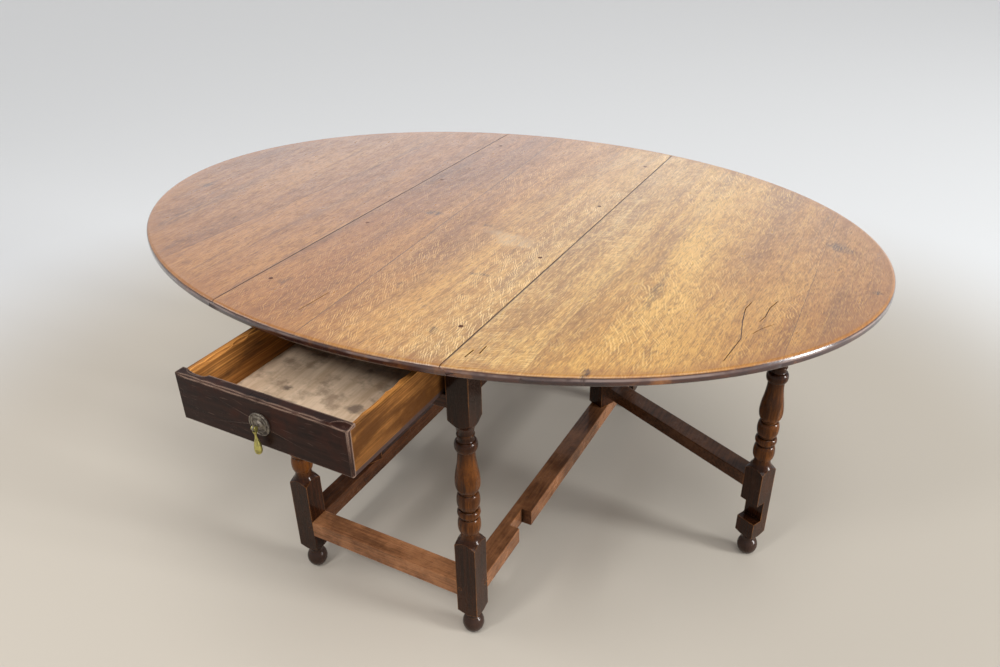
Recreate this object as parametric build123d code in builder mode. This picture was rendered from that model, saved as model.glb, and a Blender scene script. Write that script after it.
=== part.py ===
from build123d import *
import os
from math import cos, radians, sin

# Gateleg table with an oval drop-leaf top and a drawer, shown with both gates open and the drawer
# pulled out. Millimetres. X runs across the leaves, Y along their seams, the drawer is at the -Y end.
# The origin is on the floor in the middle of the space that the table takes.

# Oval top
table_height = 735
top_thickness = 18
top_length = 1656
top_width = 1226
rim_round_over = 7
rim_round_under = 4

# Fixed part of the top, and how far it and the frame stand off the oval's centre
fixed_width = 481
frame_x = -12

# Glued board joints, as x from the oval's centre at the front tip and at the back tip of the oval
fixed_joint = (-41, -105)
left_leaf_joint = (-491, -396)
right_leaf_inner_joint = (353, 341)
right_leaf_outer_joint = (703, 676)

# Rule joint between the fixed top and each leaf: a step, a quarter round and a thin base
rule_step = 4
rule_base = 2
rule_gap = 0.6
seam_gap = 1.5

# Legs: stock, how far the fixed top stands out past them, and their spread along the seams
leg_size = 46
top_overhang = 9.5
leg_spacing_y = 928

# Turning, from the floor up: the heights between the two square blocks are a pattern that is stretched
# to fill the stick between them
foot_radius = 9
ball_radius = 22.5
ball_height = 44
ball_middle = 0.48
ankle_radius = 15
ankle_rise = 24
lower_block_height = 179
lower_shoulder_height = 28
neck_radius = 17.5
neck_height = 3
waist_radius = 17
bead_radius = 23
bead_height = 37
thin_bead_height = 18
baluster_radius = 23
baluster_swell_height = 43
baluster_taper_height = 51
collar_height = 24
throat_radius = 16.5
throat_height = 10
ring_height = 4
ring_bulge = 1.5
upper_shoulder_height = 35
upper_block_height = 168
foot_slope = 0.35
lower_shoulder_slope = 0.8
upper_shoulder_slope = 0.9
baluster_slope = 0.9

# Rails
stretcher_bottom = 110
stretcher_height = 40
apron_depth = 117
apron_thickness = 30
apron_set_back = 3
drawer_rail_height = 29
drawer_rail_depth = 36
top_rail_height = 22
top_rail_depth = 38
rail_round = 2

# Pegged mortise and tenon joints
tenon_length = 15
tenon_thickness = 10
tenon_shoulder = 3
mortise_clearance = 0.2
peg_radius = 3.5
peg_length = 34
peg_proud = 0.6
peg_clearance = 0.1
apron_peg_inset = 32
deep_rail = 64
top_peg_radius = 4.5
top_peg_length = 45
top_peg_spacing = 310

# Gates: pivot place, reach, how far each stands open, lap joints
gate_pivot_y = 241
gate_length = 506
gate_open = 64.6
gate_lower_rail_height = 31
gate_upper_rail_thickness = 26
gate_rail_rise = 45
gate_upper_rail_drop = 14
gate_running_clearance = 0.3
pintle_radius = 8
pintle_length = 20
pintle_clearance = 0.08
lap_clearance = 0.5
lap_side_clearance = 7
lap_end_clearance = 2
lap_headroom = 12
apron_lap_left = 14

# Drawer, pulled out at rest
drawer_open = 256
drawer_leg_gap = 9
drawer_length = 600
drawer_above_apron_edge = 1
drawer_top_gap = 3
drawer_front_thickness = 20
drawer_rebate = 12
drawer_side_drop = 6
drawer_side_thickness = 14
drawer_back_drop = 8
drawer_back_thickness = 14
drawer_bottom_thickness = 8
drawer_front_round = 3
drawer_running_clearance = 0.3
drawer_guide_clearance = 1
runner_width = 34
runner_height = 22
runner_post_clearance = 1
guide_height = 35
kicker_width = 40
kicker_clearance = 4

# Drop pull on the drawer front
pull_below_front_top = 46
rosette_radius = 21
rosette_thickness = 2
rosette_boss_radius = 7
rosette_boss_height = 5
rosette_ring_radius = 1.2
staple_radius = 2
staple_clearance = 0.1
staple_clench = 16
eye_stand_out = 13
eye_radius = 5
eye_thickness = 3
eye_root = 0.6
pull_pin_radius = 1.6
pull_pin_clearance = 0.07
fork_thickness = 2
fork_gap = 0.3
fork_radius = 4
drop_length = 50
drop_neck_radius = 2.6
drop_belly_radius = 6.5
drop_belly_height = 10

# Leaf hinges
hinge_leg_gap = 34
hinge_width = 60
hinge_plate_thickness = 2
hinge_top_length = 38
hinge_leaf_length = 52
knuckle_radius = 4
knuckle_length = 20
knuckle_gap = 0.3
hinge_pin_radius = 1.8
hinge_pin_clearance = 0.05
hinge_let_in = 0.3
screw_head_radius = 3.6
screw_head_depth = 1.8
screw_radius = 1.8
screw_length = 12
screw_clearance = 0.1
screw_spread = 36
screw_edge = 12

# Drawer nails
nail_radius = 1.2
nail_head_radius = 3
nail_head_depth = 1
nail_length = 26
nail_clearance = 0.1
nail_head_sink = 0.2
bottom_nail_count = 4
bottom_nail_inset = 56
side_nail_inset = 20

# How far a cut runs past the face it opens
cut_past = 1

# Heights and faces worked out from the values above
top_under = table_height - top_thickness
half_leg = leg_size / 2
half_leg_diagonal = half_leg * 2 ** 0.5
pin_x = fixed_width / 2
rule_radius = top_thickness - rule_step - rule_base
pin_height = top_under + rule_base
leg_x = pin_x - top_overhang - half_leg
leg_y = leg_spacing_y / 2
lower_block_bottom = ball_height + ankle_rise
lower_block_top = lower_block_bottom + lower_block_height
upper_block_bottom = top_under - upper_block_height
turning_pattern = (lower_shoulder_height + 2 * bead_height + thin_bead_height + 5 * neck_height
                   + baluster_swell_height + baluster_taper_height + collar_height
                   + throat_height + ring_height + upper_shoulder_height)
turning_stretch = (upper_block_bottom - lower_block_top) / turning_pattern
stretcher_top = stretcher_bottom + stretcher_height
apron_bottom = top_under - apron_depth
apron_outer = leg_x + half_leg - apron_set_back
apron_inner = apron_outer - apron_thickness
drawer_bottom = apron_bottom + drawer_above_apron_edge
drawer_front_top = top_under - top_rail_height - drawer_top_gap
drawer_front_face = -(leg_y + half_leg + drawer_open)
runner_top = drawer_bottom - drawer_running_clearance
front_rail_bottom = runner_top - drawer_rail_height
back_apron_outer = leg_y + half_leg - apron_set_back
back_apron_inner = back_apron_outer - apron_thickness
drawer_rail_y = -(leg_y + half_leg - apron_set_back - drawer_rail_depth / 2)
top_rail_y = -(leg_y + half_leg - apron_set_back - top_rail_depth / 2)
half_drawer = leg_x - half_leg - drawer_leg_gap
runner_outer = leg_x - half_leg_diagonal - runner_post_clearance
guide_inner = half_drawer + drawer_guide_clearance
drawer_inner = half_drawer - drawer_side_thickness
drawer_side_start = drawer_front_thickness - drawer_rebate
drawer_side_z = (drawer_bottom + drawer_bottom_thickness, drawer_front_top - drawer_side_drop)
kicker_bottom = drawer_side_z[1] + kicker_clearance
pull_height = drawer_front_top - pull_below_front_top
gate_leg_top = top_under - gate_running_clearance
gate_lower_rail = (stretcher_top + gate_rail_rise,
                   stretcher_top + gate_rail_rise + gate_lower_rail_height)
gate_upper_rail = (upper_block_bottom, apron_bottom - gate_upper_rail_drop)
hinge_end_y = leg_y - hinge_leg_gap - hinge_width / 2

# The pull's foremost point sets the front of the table's box, and the oval sets its back
front_reach = -drawer_front_face + eye_stand_out + drop_belly_radius
table_y = (front_reach - top_width / 2) / 2

# Planes: under the oval's centre, under the frame's centre, and at the drawer front's outer face
table = Plane((0, table_y, 0))
frame = Plane((frame_x, table_y, 0))
drawer = Plane((frame_x, table_y + drawer_front_face, 0))
sides = {"left": -1, "right": 1}
ends = {"front": -1, "back": 1}

os.makedirs("parts", exist_ok=True)


def save(piece, name):
    """Label a finished piece and write its file."""
    piece.part.label = name
    export_step(piece.part, f"parts/{name}.step")


def block(x, y, z, spot=frame, mode=Mode.ADD):
    """A block between two values of x, y and z, given in either order, on the plane spot."""
    low = Vector(min(x), min(y), min(z))
    high = Vector(max(x), max(y), max(z))
    size = high - low
    with Locations(spot.location * Location((low + high) / 2)):
        Box(size.X, size.Y, size.Z, mode=mode)


def rod(start, along, radius, length, spot=frame, mode=Mode.ADD):
    """A round rod from a start point along a direction, both on the plane spot."""
    base = Plane(spot.from_local_coords(Vector(*start)),
                 z_dir=spot.from_local_coords(Vector(*along)) - spot.origin)
    with Locations(base):
        Cylinder(radius, length, align=(Align.CENTER, Align.CENTER, Align.MIN), mode=mode)


def around(middle, width):
    """The low and high end of a width about its middle."""
    return (middle - width / 2, middle + width / 2)


def widened(span, clearance):
    """A span with a clearance added at both ends."""
    return (min(span) - clearance, max(span) + clearance)


def gate_plane(side):
    """A gate's own plane: its origin on the pivot, x along the gate, y away from the frame."""
    heading = radians(gate_open - 90 * side)
    pivot = frame.from_local_coords(Vector(side * leg_x, side * gate_pivot_y, 0))
    return Plane(pivot, x_dir=(cos(heading), sin(heading), 0), z_dir=(0, 0, 1))


def lap_y(side):
    """Where along the frame a closed gate's leg stands."""
    return side * (gate_pivot_y - gate_length)


# Turned legs

def stretched(height):
    """A height of the turning's pattern as it stands on the stick."""
    return height * turning_stretch


def turned_neck(start):
    """The straight neck of the turning from a point of its outline up."""
    return Line(start, start + Vector(0, stretched(neck_height)))


def turned_bead(start, height):
    """A round bead of the turning from a point of its outline up: half an ellipse."""
    half_height = stretched(height) / 2
    return EllipticalCenterArc(start + Vector(0, half_height), bead_radius - neck_radius, half_height,
                               start_angle=-90, arc_size=180)


def turned_stick(spot, low, high):
    """A square stick on the plane spot, turned round between its square blocks."""
    with BuildSketch(spot.offset(low)) as square:
        Rectangle(leg_size, leg_size)
    extrude(square.sketch, amount=high - low)
    past_corner = half_leg_diagonal + cut_past
    with BuildSketch(Plane(spot.origin, x_dir=spot.x_dir, z_dir=-spot.y_dir)) as outline:
        with BuildLine():
            foot = Line((0, 0), (foot_radius, 0))
            ball = ThreePointArc(foot @ 1, (ball_radius, ball_height * ball_middle),
                                 (ankle_radius, ball_height))
            flare = Spline(ball @ 1, (past_corner, lower_block_bottom),
                           tangents=((0, 1), (1, foot_slope)))
            block_side = Line(flare @ 1, (past_corner, lower_block_top))
            last = Spline(block_side @ 1, (neck_radius, lower_block_top + stretched(lower_shoulder_height)),
                          tangents=((-1, lower_shoulder_slope), (0, 1)))
            for height in (bead_height, thin_bead_height, bead_height):
                neck = turned_neck(last @ 1)
                last = turned_bead(neck @ 1, height)
            neck = turned_neck(last @ 1)
            swell = neck @ 1 + Vector(baluster_radius - neck_radius, stretched(baluster_swell_height))
            waist = Vector(waist_radius, swell.Y + stretched(baluster_taper_height))
            baluster = Spline(neck @ 1, swell, waist, tangents=((1, baluster_slope), (0, 1)))
            neck = turned_neck(baluster @ 1)
            collar = turned_bead(neck @ 1, collar_height)
            throat_top = collar @ 1 + Vector(throat_radius - neck_radius, stretched(throat_height))
            throat = Spline(collar @ 1, throat_top, tangents=((-1, 1), (0, 1)))
            ring_top = throat_top + Vector(0, stretched(ring_height))
            ring = ThreePointArc(throat @ 1, (throat_top + ring_top) / 2 + Vector(ring_bulge, 0), ring_top)
            rise = Spline(ring @ 1, (past_corner, upper_block_bottom),
                          tangents=((0, 1), (1, upper_shoulder_slope)))
            top_side = Line(rise @ 1, (past_corner, top_under))
            top_end = Line(top_side @ 1, (0, top_under))
            Line(top_end @ 1, foot @ 0)
        make_face()
    revolve(outline.sketch, axis=Axis(spot.origin, (0, 0, 1)), mode=Mode.INTERSECT)


# Mortise and tenon joints. Each rail is known by its run, its cross section and its two ends.

rails = {}
for side_name, side in sides.items():
    rails[f"{side_name}_stretcher"] = {
        "run": "y", "across": around(side * leg_x, leg_size), "tenon": side * leg_x,
        "z": (stretcher_bottom, stretcher_top)}
    rails[f"{side_name}_apron"] = {
        "run": "y", "across": (side * apron_inner, side * apron_outer),
        "tenon": side * (apron_inner + apron_outer) / 2, "z": (apron_bottom, top_under)}
for end_name, end in ends.items():
    rails[f"{end_name}_stretcher"] = {
        "run": "x", "across": around(end * leg_y, leg_size), "tenon": end * leg_y,
        "z": (stretcher_bottom, stretcher_top)}
rails["back_apron"] = {
    "run": "x", "across": (back_apron_inner, back_apron_outer),
    "tenon": (back_apron_inner + back_apron_outer) / 2, "z": (front_rail_bottom, top_under)}
rails["drawer_rail"] = {
    "run": "x", "across": around(drawer_rail_y, drawer_rail_depth), "tenon": drawer_rail_y,
    "z": (front_rail_bottom, runner_top)}
rails["top_rail"] = {
    "run": "x", "across": around(top_rail_y, top_rail_depth), "tenon": top_rail_y,
    "z": (top_under - top_rail_height, top_under)}


def rail_block(run, lengthwise, across, z, mode=Mode.ADD):
    """A block whose length lies along x or y."""
    if run == "x":
        block(lengthwise, across, z, mode=mode)
    else:
        block(across, lengthwise, z, mode=mode)


def rail_reach(run):
    """From the frame's centre to the leg face where a rail's shoulder stands."""
    return leg_x - half_leg if run == "x" else leg_y - half_leg


def tenon_height(z):
    """A tenon's low and high end on a rail of the given heights."""
    return (z[0] + tenon_shoulder, z[1] - tenon_shoulder)


def rail_with_tenons(rail):
    """A rail between two legs, its long edges eased, with a tenon at both ends."""
    reach = rail_reach(rail["run"])
    rail_block(rail["run"], (-reach, reach), rail["across"], rail["z"])
    long_edges = Axis.X if rail["run"] == "x" else Axis.Y
    fillet(edges().filter_by(long_edges), rail_round)
    for end in ends.values():
        rail_block(rail["run"], (end * reach, end * (reach + tenon_length)),
                   around(rail["tenon"], tenon_thickness), tenon_height(rail["z"]))


def rail_mortise(rail, end):
    """The slot in a leg for one of a rail's tenons."""
    reach = rail_reach(rail["run"])
    rail_block(rail["run"], (end * reach, end * (reach + tenon_length + mortise_clearance)),
               widened(around(rail["tenon"], tenon_thickness), mortise_clearance),
               widened(tenon_height(rail["z"]), mortise_clearance), mode=Mode.SUBTRACT)


def peg_heights(rail):
    """One peg in a slim rail, two in a deep one."""
    low, high = rail["z"]
    if high - low > deep_rail:
        return (low + apron_peg_inset, high - apron_peg_inset)
    return ((low + high) / 2,)


def rail_pegs(rail, end, clearance=0, mode=Mode.ADD):
    """The pegs through one of a rail's tenons, driven in from the leg's outer face."""
    sunk = rail_reach(rail["run"]) + tenon_length / 2
    facing = 1 if rail["tenon"] > 0 else -1
    start = leg_y + half_leg if rail["run"] == "x" else leg_x + half_leg
    length = peg_length + peg_proud
    for z in peg_heights(rail):
        if rail["run"] == "x":
            rod((end * sunk, facing * (start + peg_proud), z), (0, -facing, 0),
                peg_radius + clearance, length + clearance, mode=mode)
        else:
            rod((facing * (start + peg_proud), end * sunk, z), (-facing, 0, 0),
                peg_radius + clearance, length + clearance, mode=mode)


def top_peg_places(side):
    """Where the pegs that hold the fixed top go down on one side of the frame."""
    inner = top_peg_spacing / 2
    return [(side * leg_x, y) for y in (-leg_y, -inner, inner, leg_y)]


def top_peg(place, clearance=0, mode=Mode.ADD):
    """A peg from the top's face down into the leg or the apron."""
    rod((*place, table_height), (0, 0, -1), top_peg_radius + clearance, top_peg_length + clearance,
        mode=mode)


pegged_rails = [name for name in rails if name.endswith(("stretcher", "apron"))]


def joints_at(side_name, end_name):
    """The rails that meet at a leg, each with the end of the rail that comes there."""
    for name, rail in rails.items():
        if rail["run"] == "y" and name.startswith(side_name):
            yield name, rail, ends[end_name]
        if rail["run"] == "x" and rail["tenon"] * ends[end_name] > 0:
            yield name, rail, sides[side_name]


for side_name, side in sides.items():
    for end_name, end in ends.items():
        with BuildPart() as leg:
            turned_stick(Plane(frame.from_local_coords(Vector(side * leg_x, end * leg_y, 0))),
                         0, top_under)
            for name, rail, rail_end in joints_at(side_name, end_name):
                rail_mortise(rail, rail_end)
                if name in pegged_rails:
                    rail_pegs(rail, rail_end, peg_clearance, Mode.SUBTRACT)
            top_peg((side * leg_x, end * leg_y), peg_clearance, Mode.SUBTRACT)
        save(leg, f"leg_{end_name}_{side_name}")


# Stretchers, aprons and drawer rails

def cut_gate_lap(side, from_x, outer_x, z):
    """The notch in a side rail that a closed gate's leg swings into."""
    block((side * from_x, side * (outer_x + lap_side_clearance)),
          widened(around(lap_y(side), leg_size), lap_side_clearance), z, mode=Mode.SUBTRACT)


def pintle_hole(side, z, along):
    """The round hole that one of a gate post's pintles turns in."""
    rod((side * leg_x, side * gate_pivot_y, z), (0, 0, along), pintle_radius + pintle_clearance,
        pintle_length + gate_running_clearance, mode=Mode.SUBTRACT)


for name, rail in rails.items():
    with BuildPart() as rail_piece:
        rail_with_tenons(rail)
        if name in pegged_rails:
            for end in ends.values():
                rail_pegs(rail, end, peg_clearance, Mode.SUBTRACT)
        for side_name, side in sides.items():
            if name == f"{side_name}_stretcher":
                cut_gate_lap(side, leg_x - lap_clearance, leg_x + half_leg, rail["z"])
                pintle_hole(side, stretcher_top, -1)
            if name == f"{side_name}_apron":
                cut_gate_lap(side, apron_inner + apron_lap_left, apron_outer, rail["z"])
                pintle_hole(side, apron_bottom, 1)
                for place in top_peg_places(side):
                    top_peg(place, peg_clearance, Mode.SUBTRACT)
    save(rail_piece, name)

for group in ("stretcher", "apron"):
    with BuildPart() as pegs:
        for name in pegged_rails:
            if name.endswith(group):
                for end in ends.values():
                    rail_pegs(rails[name], end)
    save(pegs, f"{group}_pegs")


# Drawer runners, guides and kickers, carried by the rails and aprons

for side_name, side in sides.items():
    with BuildPart() as runner:
        block((side * (runner_outer - runner_width), side * runner_outer),
              (drawer_rail_y + drawer_rail_depth / 2, back_apron_inner),
              (runner_top - runner_height, runner_top))
    save(runner, f"{side_name}_drawer_runner")
    with BuildPart() as guide:
        block((side * guide_inner, side * apron_inner), (-leg_y + half_leg, leg_y - half_leg),
              (runner_top, runner_top + guide_height))
    save(guide, f"{side_name}_drawer_guide")
    with BuildPart() as kicker:
        block((side * (apron_inner - kicker_width), side * apron_inner),
              (-leg_y + half_leg, leg_y - half_leg), (kicker_bottom, top_under))
    save(kicker, f"{side_name}_drawer_kicker")


# Gates

def gate_rail(spot, z, thickness):
    """A gate's rail between its post and its leg, with a tenon at both ends."""
    start = half_leg
    stop = gate_length - half_leg
    block((start, stop), around(0, thickness), z, spot)
    fillet(edges().filter_by(Axis(spot.origin, spot.x_dir)), rail_round)
    for inner, outer in ((start, start - tenon_length), (stop, stop + tenon_length)):
        block((inner, outer), around(0, tenon_thickness), tenon_height(z), spot)


def gate_mortise(spot, face, along, z):
    """The slot for a gate rail's tenon, from a face of the post or the leg."""
    block((face, face + along * (tenon_length + mortise_clearance)),
          widened(around(0, tenon_thickness), mortise_clearance),
          widened(tenon_height(z), mortise_clearance), spot, Mode.SUBTRACT)


def gate_pegs(spot, where, z, clearance=0, mode=Mode.ADD):
    """A peg through a gate rail's tenon, driven in from the side away from the frame."""
    rod((where, half_leg + peg_proud, (z[0] + z[1]) / 2), (0, -1, 0), peg_radius + clearance,
        peg_length + peg_proud + clearance, spot, mode)


post_peg_x = half_leg - tenon_length / 2
leg_peg_x = gate_length - half_leg + tenon_length / 2
gate_rail_z = {"lower": gate_lower_rail, "upper": gate_upper_rail}
gate_rail_thickness = {"lower": leg_size, "upper": gate_upper_rail_thickness}

for side_name, side in sides.items():
    gate = gate_plane(side)
    with BuildPart() as post:
        turned_stick(gate, stretcher_top + gate_running_clearance, apron_bottom - gate_running_clearance)
        rod((0, 0, stretcher_top + gate_running_clearance), (0, 0, -1), pintle_radius, pintle_length, gate)
        rod((0, 0, apron_bottom - gate_running_clearance), (0, 0, 1), pintle_radius, pintle_length, gate)
        for z in gate_rail_z.values():
            gate_mortise(gate, half_leg, -1, z)
            gate_pegs(gate, post_peg_x, z, peg_clearance, Mode.SUBTRACT)
    save(post, f"{side_name}_gate_post")
    with BuildPart() as gate_leg:
        turned_stick(gate.shift_origin(gate.from_local_coords(Vector(gate_length, 0, 0))), 0, gate_leg_top)
        for z in gate_rail_z.values():
            gate_mortise(gate, gate_length - half_leg, 1, z)
            gate_pegs(gate, leg_peg_x, z, peg_clearance, Mode.SUBTRACT)
        block(widened(around(gate_length, leg_size), cut_past), (-leg_size, lap_clearance),
              (stretcher_bottom - lap_end_clearance, stretcher_top + lap_headroom), gate, Mode.SUBTRACT)
        block(widened(around(gate_length, leg_size), cut_past),
              (-leg_size, apron_inner + apron_lap_left - leg_x + lap_clearance),
              (apron_bottom - lap_end_clearance, table_height), gate, Mode.SUBTRACT)
    save(gate_leg, f"{side_name}_gate_leg")
    for rail_name, z in gate_rail_z.items():
        with BuildPart() as gate_rail_piece:
            gate_rail(gate, z, gate_rail_thickness[rail_name])
            for where in (post_peg_x, leg_peg_x):
                gate_pegs(gate, where, z, peg_clearance, Mode.SUBTRACT)
        save(gate_rail_piece, f"{side_name}_gate_{rail_name}_rail")
    with BuildPart() as pegs:
        for z in gate_rail_z.values():
            for where in (post_peg_x, leg_peg_x):
                gate_pegs(gate, where, z)
    save(pegs, f"{side_name}_gate_pegs")


# Leaf hinges

hinge_places = (-hinge_end_y, 0, hinge_end_y)
outer_knuckle = (knuckle_length / 2 + knuckle_gap, hinge_width / 2)


def hinge_plane(side, y):
    """A hinge's own plane: its origin on the pin at the hinge's middle, x away from the frame."""
    origin = frame.from_local_coords(Vector(side * pin_x, y, pin_height))
    return Plane(origin, x_dir=(side, 0, 0), z_dir=(0, 0, 1))


plate_low = top_under - pin_height
plate_high = plate_low + hinge_plate_thickness
plate_inner = knuckle_radius + 2 * knuckle_gap
top_screw_x = -hinge_top_length + screw_edge
leaf_screw_x = hinge_leaf_length - screw_edge


def knuckle(spot, y):
    """A knuckle between two values of y, with the bar that joins it to its plate left to the caller."""
    rod((0, y[0], 0), (0, 1, 0), knuckle_radius, y[1] - y[0], spot)


def hinge_screw(spot, x, y, clearance=0, mode=Mode.ADD):
    """A countersunk screw driven up through a hinge plate into the wood."""
    base = Plane(spot.from_local_coords(Vector(x, y, plate_low)), z_dir=(0, 0, 1))
    with Locations(base):
        Cone(screw_head_radius + clearance, screw_radius + clearance, screw_head_depth,
             align=(Align.CENTER, Align.CENTER, Align.MIN), mode=mode)
    rod((x, y, plate_low + screw_head_depth), (0, 0, 1), screw_radius + clearance,
        screw_length - screw_head_depth + clearance, spot, mode)


def hinge_screws(spot, x, clearance=0, mode=Mode.ADD):
    """The two screws of one hinge plate."""
    for y in around(0, screw_spread):
        hinge_screw(spot, x, y, clearance, mode)


def pin_hole(spot):
    """The hole for the pin through every knuckle of a plate."""
    rod((0, -hinge_width, 0), (0, 1, 0), hinge_pin_radius + hinge_pin_clearance, 2 * hinge_width, spot,
        Mode.SUBTRACT)


def hinge_top_plate(spot):
    """The plate under the fixed top, with the middle knuckle."""
    block((-hinge_top_length, -plate_inner), around(0, hinge_width), (plate_low, plate_high), spot)
    block((-plate_inner, 0), around(0, knuckle_length), (plate_low, plate_high), spot)
    knuckle(spot, around(0, knuckle_length))
    pin_hole(spot)
    hinge_screws(spot, top_screw_x, screw_clearance, Mode.SUBTRACT)


def hinge_leaf_plate(spot):
    """The plate under the leaf, with the two outer knuckles."""
    block((plate_inner, hinge_leaf_length), around(0, hinge_width), (plate_low, plate_high), spot)
    for end in ends.values():
        y = sorted(end * v for v in outer_knuckle)
        block((0, plate_inner), y, (plate_low, plate_high), spot)
        knuckle(spot, y)
    pin_hole(spot)
    hinge_screws(spot, leaf_screw_x, screw_clearance, Mode.SUBTRACT)


for side_name, side in sides.items():
    hinges = [hinge_plane(side, y) for y in hinge_places]
    with BuildPart() as top_plates:
        for hinge in hinges:
            hinge_top_plate(hinge)
    save(top_plates, f"{side_name}_hinge_top_plates")
    with BuildPart() as leaf_plates:
        for hinge in hinges:
            hinge_leaf_plate(hinge)
    save(leaf_plates, f"{side_name}_hinge_leaf_plates")
    with BuildPart() as pins:
        for hinge in hinges:
            rod((0, -hinge_width / 2, 0), (0, 1, 0), hinge_pin_radius, hinge_width, hinge)
    save(pins, f"{side_name}_hinge_pins")
    with BuildPart() as top_screws:
        for hinge in hinges:
            hinge_screws(hinge, top_screw_x)
    save(top_screws, f"{side_name}_hinge_top_screws")
    with BuildPart() as leaf_screws:
        for hinge in hinges:
            hinge_screws(hinge, leaf_screw_x)
    save(leaf_screws, f"{side_name}_hinge_leaf_screws")


# Boards of the oval top

with BuildPart() as oval:
    with BuildSketch(table.offset(top_under)):
        Ellipse(top_length / 2, top_width / 2)
    extrude(amount=top_thickness)
    rims = edges().sort_by(Axis.Z)
    fillet(rims[-1], rim_round_over)
    fillet(edges().sort_by(Axis.Z)[0], rim_round_under)


def section_plane():
    """The upright plane across the table that the rule joint's section is drawn on."""
    return Plane(frame.origin - Vector(0, top_width, 0), x_dir=(1, 0, 0), z_dir=(0, -1, 0))


def fixed_section():
    """The fixed top's cross section: a step and a quarter round along both sides."""
    half = pin_x
    with BuildSketch(section_plane()) as section:
        with BuildLine():
            top_line = Line((-half, table_height), (half, table_height))
            step = Line(top_line @ 1, (half, pin_height + rule_radius))
            ovolo = RadiusArc(step @ 1, (half + rule_radius, pin_height), rule_radius)
            lip = Line(ovolo @ 1, (half + rule_radius, top_under))
            base = Line(lip @ 1, (-half - rule_radius, top_under))
            left_lip = Line(base @ 1, (-half - rule_radius, pin_height))
            left_ovolo = RadiusArc(left_lip @ 1, (-half, pin_height + rule_radius), rule_radius)
            Line(left_ovolo @ 1, top_line @ 0)
        make_face()
    extrude(section.sketch, amount=-2 * top_width, mode=Mode.INTERSECT)


def leaf_section(side):
    """A leaf's cross section: a hollow along its seam that rolls over the quarter round."""
    hollow = rule_radius + rule_gap
    rise = (hollow ** 2 - seam_gap ** 2) ** 0.5
    far = side * top_length
    with BuildSketch(section_plane()) as section:
        with BuildLine():
            seam = Line((side * (pin_x + seam_gap), table_height),
                        (side * (pin_x + seam_gap), pin_height + rise))
            cove = RadiusArc(seam @ 1, (side * (pin_x + hollow), pin_height), side * hollow)
            lip = Line(cove @ 1, (side * (pin_x + hollow), top_under))
            base = Line(lip @ 1, (far, top_under))
            outer = Line(base @ 1, (far, table_height))
            Line(outer @ 1, seam @ 0)
        make_face()
    extrude(section.sketch, amount=-2 * top_width, mode=Mode.INTERSECT)


def keep_between(left_joint, right_joint):
    """Cut a board out of the oval between two board joints, each a line from the front to the back."""
    front = -top_width / 2
    back = top_width / 2
    corners = ((left_joint[0], front), (right_joint[0], front), (right_joint[1], back),
               (left_joint[1], back))
    with BuildSketch(table.offset(top_under)) as plan:
        Polygon(*corners, align=None)
    extrude(plan.sketch, amount=top_thickness, mode=Mode.INTERSECT)


def cut_hinge_beds(side, plate):
    """Let the hinges of one side into the fixed top or into a leaf."""
    for y in hinge_places:
        hinge = hinge_plane(side, y)
        width = around(0, hinge_width + 2 * hinge_let_in)
        bed = (plate_low, plate_high)
        if plate == "top":
            block((-hinge_top_length - hinge_let_in, 0), width, bed, hinge, Mode.SUBTRACT)
            block(around(0, 2 * (knuckle_radius + hinge_let_in)), width,
                  (plate_low, knuckle_radius + hinge_let_in), hinge, Mode.SUBTRACT)
            block((0, 2 * rule_radius), width, (plate_low, plate_high + hinge_plate_thickness), hinge,
                  Mode.SUBTRACT)
            hinge_screws(hinge, top_screw_x, screw_clearance, Mode.SUBTRACT)
        else:
            block((0, hinge_leaf_length + hinge_let_in), width, bed, hinge, Mode.SUBTRACT)
            hinge_screws(hinge, leaf_screw_x, screw_clearance, Mode.SUBTRACT)


past_left = (-top_length, -top_length)
past_right = (top_length, top_length)
fixed_boards = {"left": (past_left, fixed_joint), "right": (fixed_joint, past_right)}
leaf_boards = {
    "left": {"left_leaf_outer_board": (past_left, left_leaf_joint),
             "left_leaf_inner_board": (left_leaf_joint, past_right)},
    "right": {"right_leaf_inner_board": (past_left, right_leaf_inner_joint),
              "right_leaf_middle_board": (right_leaf_inner_joint, right_leaf_outer_joint),
              "right_leaf_outer_board": (right_leaf_outer_joint, past_right)}}

for side_name, side in sides.items():
    with BuildPart() as board:
        add(oval.part)
        fixed_section()
        keep_between(*fixed_boards[side_name])
        cut_hinge_beds(side, "top")
        for place in top_peg_places(side):
            top_peg(place, peg_clearance, Mode.SUBTRACT)
    save(board, f"fixed_top_{side_name}_board")
    for name, joints in leaf_boards[side_name].items():
        with BuildPart() as board:
            add(oval.part)
            leaf_section(side)
            keep_between(*joints)
            if "inner" in name:
                cut_hinge_beds(side, "leaf")
        save(board, name)

with BuildPart() as top_pegs:
    for side in sides.values():
        for place in top_peg_places(side):
            top_peg(place)
save(top_pegs, "top_pegs")


# Drawer

def nail(start, along, clearance=0, mode=Mode.ADD):
    """A flat-headed nail, its head let in, from a start point along a direction."""
    head = Vector(*start) + Vector(*along) * nail_head_sink
    rod(tuple(head), along, nail_head_radius + clearance, nail_head_depth + clearance, drawer, mode)
    shank = head + Vector(*along) * nail_head_depth
    rod(tuple(shank), along, nail_radius + clearance, nail_length - nail_head_depth + clearance, drawer,
        mode)


def side_nails(side, clearance=0, mode=Mode.ADD):
    """The nails that hold a drawer side in the rebate of the front."""
    y = (drawer_side_start + drawer_front_thickness) / 2
    for z in (drawer_side_z[0] + side_nail_inset, drawer_side_z[1] - side_nail_inset):
        nail((side * half_drawer, y, z), (-side, 0, 0), clearance, mode)


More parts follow.
